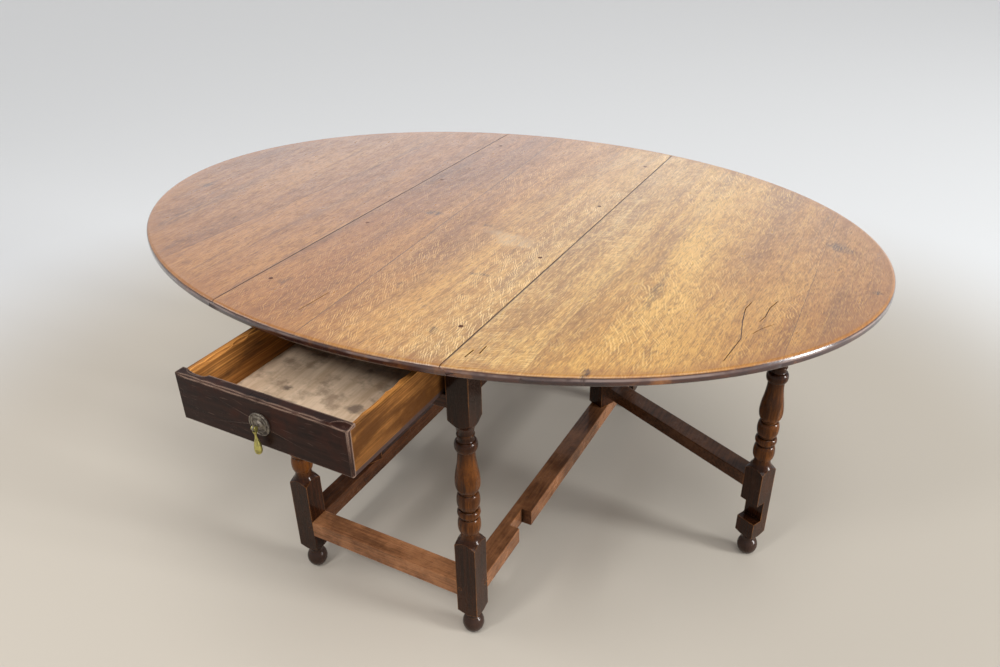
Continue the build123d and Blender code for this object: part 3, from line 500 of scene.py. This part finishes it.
def top_oak(board, seed, lean, flecks, bands, tint=(1, 1, 1), fleck_gap=0.0042, fleck_turn=28, fan=0.012,
            joints=(), stains=()):
    """Waxed oak with flecks, painted sheen, dark lines at its joints, stains, and a dark rim with a painted
    highlight.
    """
    oak = Finish(f"top_oak_{board}", specular=0.4, coat=0.5, coat_roughness=0.24)
    grain = oak.placed(oak.place, shift=(seed, seed * 3.7, seed * 1.3), turn=(0, 0, lean))
    grain = oak.warped(grain, 1.7, (0.035, 0, 0))
    cloud = oak.noise(oak.placed(grain, scale=(7, 1.4, 3)), 1.0, 5.0, 0.6)
    streak = oak.noise(oak.placed(grain, scale=(110, 2.4, 20)), 1.0, 5.0, 0.6)
    short = oak.noise(oak.placed(grain, scale=(420, 60, 60)), 1.0, 3.0, 0.6)
    pores = oak.between(oak.noise(oak.placed(grain, scale=(700, 60, 100)), 1.0, 1.0), 0.58, 0.66)
    mottle = oak.noise(oak.placed(grain, scale=(42, 20, 30)), 1.0, 5.0, 0.7)

    colour = oak.ramp(cloud, (0.36, (0.27, 0.116, 0.031)), (0.5, (0.40, 0.188, 0.049)),
                      (0.64, (0.52, 0.278, 0.082)))
    dark_band = oak.noise(oak.placed(grain, shift=(3, 1, 0), scale=(12, 0.9, 3)), 1.0, 4.0, 0.6)
    colour = oak.mix(oak.between(dark_band, 0.5, 0.7, 0, bands), colour, (0.16, 0.080, 0.046))
    for figure, dark, light in ((streak, 0.42, 0.34), (mottle, 0.38, 0.26), (short, 0.55, 0.5)):
        colour = oak.mix(oak.between(figure, 0.52, 0.66, 0, dark), colour, (0.185, 0.080, 0.027))
        colour = oak.mix(oak.between(figure, 0.48, 0.34, 0, light), colour, (0.63, 0.375, 0.13))
    colour = oak.mix(oak.maths("MULTIPLY", pores, 0.45), colour, (0.11, 0.05, 0.02))

    rays = oak.warped(oak.warped(grain, 5.0, (fan, fan, 0)), 26.0, (0.016, 0.016, 0), 3.0)
    rays = oak.placed(rays, turn=(0, 0, 90 - fleck_turn))
    lines = oak.between(oak.bands(rays, fleck_gap), 0.4, 0.95)
    breaks = oak.noise(oak.placed(rays, scale=(40, 120, 30)), 1.0, 3.0, 0.6)
    patch = oak.noise(oak.placed(grain, shift=(7, 2, 0), scale=(9, 3.2, 3)), 1.0, 5.0, 0.65)
    strokes = oak.maths("MULTIPLY", lines, oak.between(breaks, 0.44, 0.62))
    strokes = oak.maths("MULTIPLY", strokes, oak.between(patch, 0.38, 0.6))
    colour = oak.mix(oak.maths("MULTIPLY", strokes, flecks), colour, (0.80, 0.54, 0.25))

    across = oak.between(oak.axis(oak.place, "X"), -TOP_HALF.x, TOP_HALF.x)
    # Partly painted sheen: this ramp whitens a band about the right leaf's seam, where the wax mirrors the
    # bright wall.
    colour = oak.mix(1.0, colour, oak.ramp(across, *TONE_AND_SHEEN), "MULTIPLY")
    colour = oak.mix(1.0, colour, tint, "MULTIPLY")
    wobble = oak.maths("MULTIPLY", oak.maths("SUBTRACT", streak, 0.5), 0.004)
    for front_x, back_x, width in joints:
        slope = (back_x - front_x) / (2 * TOP_HALF.y)
        skew = oak.maths("MULTIPLY", oak.axis(oak.place, "Y"), slope)
        middle_x = (front_x + back_x) / 2 - slope * TOP_CENTRE_Y
        off = oak.maths("SUBTRACT", oak.maths("SUBTRACT", oak.axis(oak.place, "X"), skew), middle_x)
        off = oak.maths("ADD", oak.maths("ABSOLUTE", off), wobble)
        colour = oak.mix(oak.between(off, 0.3 * width, width, 0.85, 0), colour, (0.07, 0.03, 0.015))

    oval = oak.vector("LENGTH", oak.placed(oak.placed(oak.place, shift=(0, -TOP_CENTRE_Y, 0)),
                                           scale=(1 / TOP_HALF.x, 1 / TOP_HALF.y, 0)), (0, 0, 0))
    handled = oak.between(oak.maths("ADD", oval, oak.maths("MULTIPLY", mottle, 0.08)), 0.985, 1.03)
    colour = oak.mix(oak.maths("MULTIPLY", handled, 0.55), colour, (0.36, 0.14, 0.03))
    below = oak.maths("SUBTRACT", TOP_Z, oak.axis(oak.place, "Z"))
    rim = oak.between(oak.maths("ADD", below, oak.maths("MULTIPLY", mottle, 0.0012)), 0.0016, 0.0042)
    worn_rim = oak.noise(oak.place, 14.0, 4.0, 0.6)
    rim_colour = oak.ramp(worn_rim, (0.38, (0.022, 0.008, 0.0075)), (0.58, (0.055, 0.019, 0.012)),
                          (0.74, (0.24, 0.088, 0.022)))
    colour = oak.mix(rim, colour, rim_colour)
    # Painted highlight: a pale band along the upper rounding of the rim, broken up by a noise, stands for the
    # light line that the rim mirrors.
    rim_highlight = oak.maths("MULTIPLY", oak.between(below, 0.0032, 0.0050), oak.between(below, 0.0095, 0.0070))
    rim_highlight_breakup = oak.noise(oak.place, 9.0, 4.0, 0.6)
    rim_highlight = oak.maths("MULTIPLY", rim_highlight, oak.between(rim_highlight_breakup, 0.42, 0.6, 0.1, 0.55))
    colour = oak.mix(rim_highlight, colour, (0.34, 0.24, 0.20))
    for centre, size, turned, depth, shade in stains:
        mask = oak.spot(oak.place, on_top(*centre), (*size, 1), turned, ragged=0.8)
        mask = oak.maths("MULTIPLY", mask, oak.between(streak, 0.35, 0.6, 0.55, 1.0))
        mask = oak.maths("MULTIPLY", mask, oak.between(short, 0.42, 0.58, 0.4, 1.0))
        colour = oak.mix(oak.maths("MULTIPLY", mask, depth), colour, shade)

    roughness = oak.between(oak.maths("ADD", mottle, oak.maths("MULTIPLY", pores, 0.25)), 0.3, 0.8, 0.27, 0.42)
    roughness = oak.maths("SUBTRACT", roughness, oak.maths("MULTIPLY", rim, 0.17))
    height = oak.maths("ADD", oak.maths("MULTIPLY", short, 0.8), oak.maths("MULTIPLY", pores, -0.6))
    height = oak.maths("ADD", height, oak.maths("MULTIPLY", oak.noise(oak.place, 7.0, 2.0), 3.0))
    height = oak.maths("MULTIPLY", height, oak.maths("SUBTRACT", 1.0, rim))
    return oak.done(colour, roughness, height, 0.4, 0.0006)


# A joint is its x at the front, its x at the back and its width. A stain is its centre, size, turn,
# depth and colour. Both are measured from the middle of the oval.
DARK = (0.045, 0.022, 0.017)
PALE = (0.74, 0.56, 0.34)
FIXED_JOINT = (-0.041, -0.105, 0.0014)
LEFT_SEAM = (*(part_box("left_leaf_inner_board")[1].x,) * 2, 0.0026)
RIGHT_SEAM = (*(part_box("right_leaf_inner_board")[0].x,) * 2, 0.0026)
LEFT_LEAF_JOINT = (-0.491, -0.396, 0.0012)
RIGHT_LEAF_OUTER_JOINT = (0.703, 0.676, 0.0012)
boards = {
    "fixed_top_left_board": dict(
        seed=2.1, lean=2.0, tint=(0.98, 0.96, 0.92), flecks=0.45, bands=0.5,
        joints=(LEFT_SEAM, FIXED_JOINT), stains=(
            ((-0.113, -0.041), (0.03, 0.018), 20, 0.8, DARK),
            ((-0.19, -0.46), (0.012, 0.016), 0, 0.6, DARK))),
    "fixed_top_right_board": dict(
        seed=5.4, lean=1.0, tint=(1.02, 1.02, 1.0), flecks=0.55, bands=0.45,
        joints=(RIGHT_SEAM, FIXED_JOINT), stains=(
            ((0.102, -0.092), (0.085, 0.04), -24, 0.42, PALE),
            ((0.161, -0.496), (0.013, 0.013), 0, 0.8, DARK),
            ((0.025, -0.052), (0.014, 0.010), 0, 0.6, DARK),
            ((0.123, -0.274), (0.036, 0.010), 10, 0.65, DARK),
            ((0.015, -0.375), (0.009, 0.018), 0, 0.6, DARK))),
    "left_leaf_inner_board": dict(
        seed=8.3, lean=-2.0, flecks=0.12, bands=0.45,
        joints=(LEFT_SEAM, LEFT_LEAF_JOINT)),
    "left_leaf_outer_board": dict(
        seed=11.2, lean=-3.0, tint=(0.97, 0.98, 0.97), flecks=0.1, bands=0.55,
        joints=(LEFT_LEAF_JOINT,), stains=(((-0.725, -0.122), (0.02, 0.03), 0, 0.65, DARK),)),
    "right_leaf_inner_board": dict(
        seed=14.7, lean=0.0, tint=(1.0, 1.02, 1.05), flecks=0.4, fleck_gap=0.005, fleck_turn=-60,
        bands=0.35, joints=(RIGHT_SEAM,)),
    "right_leaf_middle_board": dict(
        seed=17.9, lean=1.5, tint=(1.0, 1.0, 0.97), flecks=0.5, fleck_gap=0.005, fan=0.07, bands=0.55,
        stains=(
            ((0.448, -0.20), (0.012, 0.09), 4, 0.6, DARK),
            ((0.441, -0.506), (0.007, 0.022), 0, 1.0, DARK))),
    "right_leaf_outer_board": dict(
        seed=21.6, lean=2.0, tint=(0.97, 0.95, 0.92), flecks=0.35, bands=0.5,
        joints=(RIGHT_LEAF_OUTER_JOINT,), stains=(
            ((0.72, 0.148), (0.045, 0.024), -20, 0.8, DARK),
            ((0.802, -0.027), (0.010, 0.010), 0, 0.8, DARK))),
}
for board, looks in boards.items():
    dress([board], top_oak(board, **looks))

# %% [markdown]
# ## The dark oak of the frame
#
# The legs, stretchers and gates are the same oak under two centuries of polish and smoke: red brown on the
# flats, and rubbed to amber on every edge that a shoe or a hand meets. Painted shade makes them nearly
# black in the hollows and on the upper blocks of the legs under the top, and the left stretcher, in the
# shade of the drawer, gets a darker copy of the finish. The grain has to follow each stick, so the finish
# is told which way the stick runs.

# %% Frame oak
# Heights between which a turned leg changes colour. Above the last pair, painted shade darkens the upper
# block under the top.
BELLY_BEGINS = (0.26, 0.29)
BELLY_ENDS = (0.50, 0.44)
FOOT_BEGINS = (0.075, 0.045)
UPPER_BLOCK_SHADE_BEGINS = (0.53, 0.6)


def frame_oak(name, grain_turn=(0, 0, 0), seed=0.0, tone=1.0, amber=0.8, worn=0.0, turned=False):
    """Dark polished oak. Before the turn, the grain runs along z."""
    oak = Finish(f"frame_oak_{name}", specular=0.08, coat=0.24, coat_roughness=0.1, gleam=(1, 0.6, 0.4))
    along = oak.placed(oak.placed(oak.place, turn=grain_turn), shift=(seed, seed * 2.3, seed * 0.7))
    grain = oak.warped(along, 5.0, (0.012, 0.012, 0))
    streak = oak.noise(oak.placed(grain, scale=(160, 160, 5)), 1.0, 6.0, 0.65)
    pores = oak.between(oak.noise(oak.placed(grain, scale=(1100, 1100, 55)), 1.0, 1.0), 0.55, 0.68)
    patch = oak.noise(oak.placed(oak.place, shift=(seed, 0, 0)), 11.0, 5.0, 0.65)

    def shade(colour):
        return [tone * c for c in colour]

    colour = oak.ramp(streak, (0.34, shade((0.013, 0.0045, 0.0025))), (0.5, shade((0.028, 0.0086, 0.0036))),
                      (0.68, shade((0.052, 0.0155, 0.0055))))
    colour = oak.mix(oak.between(patch, 0.42, 0.66, 0, 0.6), colour, shade((0.060, 0.018, 0.006)))
    if worn:
        rubbed = oak.maths("ADD", patch, oak.maths("MULTIPLY", streak, 0.6))
        rubbed = oak.between(rubbed, 0.62, 0.95, 0.35, 1.0)
        colour = oak.mix(oak.maths("MULTIPLY", rubbed, worn), colour, (0.42, 0.185, 0.080))
    if turned:
        z = oak.axis(oak.place, "Z")
        z = oak.maths("ADD", z, oak.maths("MULTIPLY", oak.maths("SUBTRACT", patch, 0.5), 0.06))
        belly = oak.maths("MULTIPLY", oak.between(z, *BELLY_BEGINS), oak.between(z, *BELLY_ENDS))
        rubbed = oak.maths("ADD", streak, oak.maths("MULTIPLY", patch, 0.8))
        rubbed = oak.between(rubbed, 0.7, 1.15, 0.2, 0.75)
        colour = oak.mix(oak.maths("MULTIPLY", belly, rubbed), colour, (0.17, 0.052, 0.008))
        colour = oak.mix(oak.between(z, *FOOT_BEGINS, 0, 0.75), colour, (0.045, 0.026, 0.020))
        # Painted shade: the upper block, under the top, is darkened.
        colour = oak.mix(oak.between(z, *UPPER_BLOCK_SHADE_BEGINS, 0, 0.8), colour, (0.010, 0.0045, 0.0028))
    edges = oak.maths("MULTIPLY", oak.between(oak.worn_edges(0.004), 0.015, 0.2),
                      oak.between(patch, 0.36, 0.56, 0.15, 1.0))
    colour = oak.mix(oak.maths("MULTIPLY", edges, amber), colour, (0.30, 0.115, 0.032))
    colour = oak.mix(oak.maths("MULTIPLY", pores, 0.5), colour, (0.008, 0.004, 0.0025))
    # Painted shade: the colour goes nearly black deep in the hollows of the same piece.
    colour = oak.mix(oak.between(oak.crevices(0.02), 0.5, 0.92, 0.97, 0), colour, (0.006, 0.003, 0.002))

    roughness = oak.between(oak.maths("ADD", patch, oak.maths("MULTIPLY", pores, 0.2)), 0.3, 0.8, 0.16, 0.36)
    height = oak.maths("ADD", oak.maths("MULTIPLY", streak, 0.5), oak.maths("MULTIPLY", pores, -0.5))
    height = oak.maths("ADD", height, oak.maths("MULTIPLY", oak.noise(oak.place, 60.0, 2.0), 1.2))
    return oak.done(colour, roughness, height, 0.35, 0.0006)


legs = [f"leg_{end}_{side}" for end in ("front", "back") for side in ("left", "right")]
gate_uprights = ["left_gate_leg", "right_gate_leg", "left_gate_post", "right_gate_post"]
SEED_STEP = 2.9
upright_seed = 1.0
for name in legs + gate_uprights:
    upright_seed += SEED_STEP
    dress([name], frame_oak(name, seed=upright_seed, tone=0.75, turned=True))
ACROSS_X = (0, 90, 0)
ALONG_Y = (90, 0, 0)
GATE_LEAN = 64.6
ALONG_GATE = (90, 0, GATE_LEAN)
dress(["back_apron", "drawer_rail", "top_rail"], frame_oak("across", ACROSS_X, 31.0))
dress(["left_apron", "right_apron"], frame_oak("along", ALONG_Y, 37.0))
dress(["front_stretcher", "back_stretcher"],
      frame_oak("end_stretcher", ACROSS_X, 47.0, tone=2.5, worn=1.0))
dress(["right_stretcher"], frame_oak("right_stretcher", ALONG_Y, 53.0, tone=2.1, worn=0.5))
# Painted shade: the left stretcher, in the shade of the drawer and top, gets a darker copy of the finish.
dress(["left_stretcher"], frame_oak("left_stretcher", ALONG_Y, 59.0, tone=1.2, worn=0.08))
gate_rails = [f"{side}_gate_{rail}_rail" for side in ("left", "right") for rail in ("lower", "upper")]
dress(gate_rails, frame_oak("gate", ALONG_GATE, 43.0, tone=1.1, worn=0.18))
dress(["top_pegs"], frame_oak("top_pegs", ACROSS_X, 6.0, tone=3.0, amber=0.2))
dress(["apron_pegs", "stretcher_pegs", "left_gate_pegs", "right_gate_pegs"],
      frame_oak("pegs", ACROSS_X, 3.0, tone=0.8, amber=0.2))

# %% [markdown]
# ## The drawer
#
# The front was polished with the frame and has gone almost black. Its sides are plain sawn oak, dry and
# orange, with rows of saw marks left on their inner faces, and the bottom is a wide grey board. Painted
# shade darkens the lower part of the sides and the edges of the bottom, where they meet the sides.

# %% Drawer finishes
bottom_low, bottom_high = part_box("drawer_bottom")
DRAWER_FLOOR_Z = bottom_high.z
DRAWER_MIDDLE_X = (bottom_low.x + bottom_high.x) / 2
DRAWER_HALF = (bottom_high.x - bottom_low.x) / 2
SIDE_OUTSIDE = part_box("drawer_right_side")[1].x - DRAWER_MIDDLE_X
# Painted shade: the dark brown laid on the lower part of the drawer sides and along the bottom's edges.
PAINTED_SHADE = (0.035, 0.015, 0.010)
RUBBED_TOP = (0.635, 0.675)
# Place from the middle of the oval, and size.
BOTTOM_STAINS = ((-0.06, -0.64, 0.022), (-0.085, -0.60, 0.014), (-0.12, -0.66, 0.012), (0.06, -0.60, 0.02))


def sawn_oak(name, light, dark, seed, saw_marks=0.5, dirt=0.5, dark_below=None, dark_beyond=None):
    """Dry oak with grain and saw marks along y; it can take painted shade below a height and be dark outside a
    width.
    """
    oak = Finish(f"sawn_oak_{name}", specular=0.12, gleam=(1, 0.7, 0.45))
    along = oak.placed(oak.place, shift=(seed, seed * 2, seed * 3))
    grain = oak.warped(along, 6.0, (0.004, 0, 0.004))
    streak = oak.noise(oak.placed(grain, scale=(130, 5, 130)), 1.0, 6.0, 0.65)
    saw = oak.noise(oak.placed(grain, scale=(1, 2.0, 330)), 1.0, 2.0, 0.5)
    patch = oak.noise(oak.place, 14.0, 5.0, 0.65)
    smudge = oak.noise(oak.placed(grain, scale=(30, 9, 30)), 1.0, 5.0, 0.65)
    colour = oak.ramp(streak, (0.34, dark), (0.66, light))
    colour = oak.mix(oak.between(saw, 0.42, 0.62, saw_marks, 0), colour, [0.35 * c for c in dark])
    colour = oak.mix(oak.between(smudge, 0.45, 0.68, 0, dirt), colour, (0.038, 0.018, 0.012))
    edges = oak.maths("MULTIPLY", oak.between(oak.worn_edges(0.005), 0.02, 0.2),
                      oak.between(patch, 0.35, 0.6, 0.3, 1))
    colour = oak.mix(oak.maths("MULTIPLY", edges, 0.8), colour, [min(1, 1.7 * c) for c in light])
    if dark_below is not None:
        # Painted shade: the lower part of a drawer side goes darker towards the bottom.
        low = oak.maths("ADD", oak.axis(oak.place, "Z"), oak.maths("MULTIPLY", smudge, 0.05))
        shade_below = oak.between(low, dark_below - 0.012, dark_below + 0.03, 0.85, 0)
        colour = oak.mix(shade_below, colour, PAINTED_SHADE)
    if dark_beyond is not None:
        aside = oak.maths("ABSOLUTE", oak.maths("SUBTRACT", oak.axis(oak.place, "X"), DRAWER_MIDDLE_X))
        handled = oak.maths("MULTIPLY", oak.between(aside, dark_beyond - 0.004, dark_beyond - 0.001),
                            oak.between(smudge, 0.3, 0.6, 0.55, 0.95))
        handled = oak.maths("MULTIPLY", handled, oak.between(oak.axis(oak.place, "Z"), *RUBBED_TOP, 1.0, 0.92))
        colour = oak.mix(handled, colour, (0.060, 0.020, 0.004))
    height = oak.maths("ADD", oak.maths("MULTIPLY", saw, saw_marks), oak.maths("MULTIPLY", streak, 0.5))
    return oak.done(colour, oak.between(patch, 0.3, 0.7, 0.45, 0.7), height, 0.5, 0.0007)


def drawer_bottom_oak():
    """A wide grey-brown board with stains, and painted shade where its edges run in the grooves of the sides.
    """
    oak = Finish("drawer_bottom_oak", specular=0.3)
    grain = oak.warped(oak.place, 5.0, (0.02, 0, 0))
    streak = oak.noise(oak.placed(grain, scale=(60, 7, 60)), 1.0, 6.0, 0.65)
    mottle = oak.noise(oak.place, 26.0, 5.0, 0.65)
    colour = oak.ramp(streak, (0.34, (0.55, 0.38, 0.24)), (0.66, (0.80, 0.60, 0.42)))
    colour = oak.mix(oak.between(mottle, 0.45, 0.7, 0, 0.7), colour, (0.25, 0.16, 0.10))
    for x, y, size in BOTTOM_STAINS:
        centre = (x, y + TOP_CENTRE_Y, DRAWER_FLOOR_Z)
        mask = oak.spot(oak.place, centre, (size, 0.7 * size, 1), 20, ragged=0.9)
        colour = oak.mix(oak.maths("MULTIPLY", mask, 0.7), colour, (0.09, 0.06, 0.05))
    aside = oak.maths("ABSOLUTE", oak.maths("SUBTRACT", oak.axis(oak.place, "X"), DRAWER_MIDDLE_X))
    # Painted shade along the board's edges, where it runs into the sides.
    colour = oak.mix(oak.between(aside, DRAWER_HALF - 0.008, DRAWER_HALF - 0.003), colour, PAINTED_SHADE)
    return oak.done(colour, oak.between(mottle, 0.3, 0.7, 0.5, 0.7), streak, 0.4, 0.0007)


def drawer_front_oak():
    """Almost black polish with red patches, pale worn edges and fine scratches."""
    oak = Finish("drawer_front_oak", specular=0.10, coat=0.03, coat_roughness=0.15, gleam=(1, 0.6, 0.5))
    grain = oak.warped(oak.place, 5.0, (0, 0, 0.01))
    streak = oak.noise(oak.placed(grain, scale=(5, 60, 110)), 1.0, 6.0, 0.65)
    patch = oak.noise(oak.place, 9.0, 5.0, 0.65)
    colour = oak.ramp(streak, (0.34, (0.006, 0.0030, 0.0027)), (0.66, (0.024, 0.0096, 0.0065)))
    colour = oak.mix(oak.between(patch, 0.46, 0.66, 0, 0.75), colour, (0.042, 0.0110, 0.006))
    edges = oak.maths("MULTIPLY", oak.between(oak.worn_edges(0.006), 0.015, 0.18),
                      oak.between(patch, 0.3, 0.52))
    colour = oak.mix(oak.maths("MULTIPLY", edges, 0.8), colour, (0.34, 0.22, 0.16))
    scratch = oak.placed(oak.warped(oak.place, 9.0, (0.05, 0, 0.05)), scale=(30, 30, 900))
    scratch = oak.noise(scratch, 1.0, 0.0)
    colour = oak.mix(oak.between(scratch, 0.74, 0.8, 0, 0.35), colour, (0.25, 0.16, 0.12))
    height = oak.maths("ADD", oak.maths("MULTIPLY", streak, 0.6), oak.noise(oak.place, 70.0, 3.0))
    return oak.done(colour, oak.between(patch, 0.3, 0.75, 0.24, 0.48), height, 0.35, 0.0006)


dress(["drawer_front"], drawer_front_oak())
dress(["drawer_left_side", "drawer_right_side", "drawer_back"],
      sawn_oak("sides", (0.60, 0.255, 0.063), (0.26, 0.095, 0.023), 4.0, dirt=0.6, dark_below=0.62,
               dark_beyond=SIDE_OUTSIDE))
dress(["drawer_bottom"], drawer_bottom_oak())
dress([f"{s}_drawer_{p}" for s in ("left", "right") for p in ("runner", "guide", "kicker")],
      sawn_oak("inner", (0.24, 0.14, 0.07), (0.13, 0.07, 0.035), 15.0))

# %% [markdown]
# ## Brass and iron
#
# The drop pull is cast brass, bright where fingers polish it and brown in its grooves. The hinges, their
# pins and the nails are forged iron with a dull brown skin.

# %% Metals


def old_metal(name, bright, dull, roughness, shine=0.9):
    """Metal with brighter and duller patches, dark in its grooves."""
    metal = Finish(name, metallic=shine)
    patch = metal.noise(metal.place, 160.0, 4.0, 0.6)
    grooves = metal.between(metal.crevices(0.004), 0.45, 0.9, 1.0, 0.0)
    colour = metal.mix(metal.between(patch, 0.4, 0.65), bright, dull)
    colour = metal.mix(grooves, colour, [0.25 * c for c in dull])
    height = metal.noise(metal.place, 500.0, 3.0)
    return metal.done(colour, metal.between(patch, 0.3, 0.7, roughness, roughness + 0.25), height, 0.3, 0.0003)


dress(["pull_drop", "pull_pin"], old_metal("drop_brass", (0.46, 0.40, 0.11), (0.27, 0.23, 0.08), 0.3))
dress(["pull_rosette", "pull_staple"],
      old_metal("rosette_brass", (0.24, 0.205, 0.16), (0.10, 0.08, 0.066), 0.38))
iron_pieces = [n for n in nodes if "hinge" in n] + ["drawer_nails"]
dress(iron_pieces, old_metal("forged_iron", (0.13, 0.11, 0.10), (0.07, 0.045, 0.035), 0.5, 0.7))
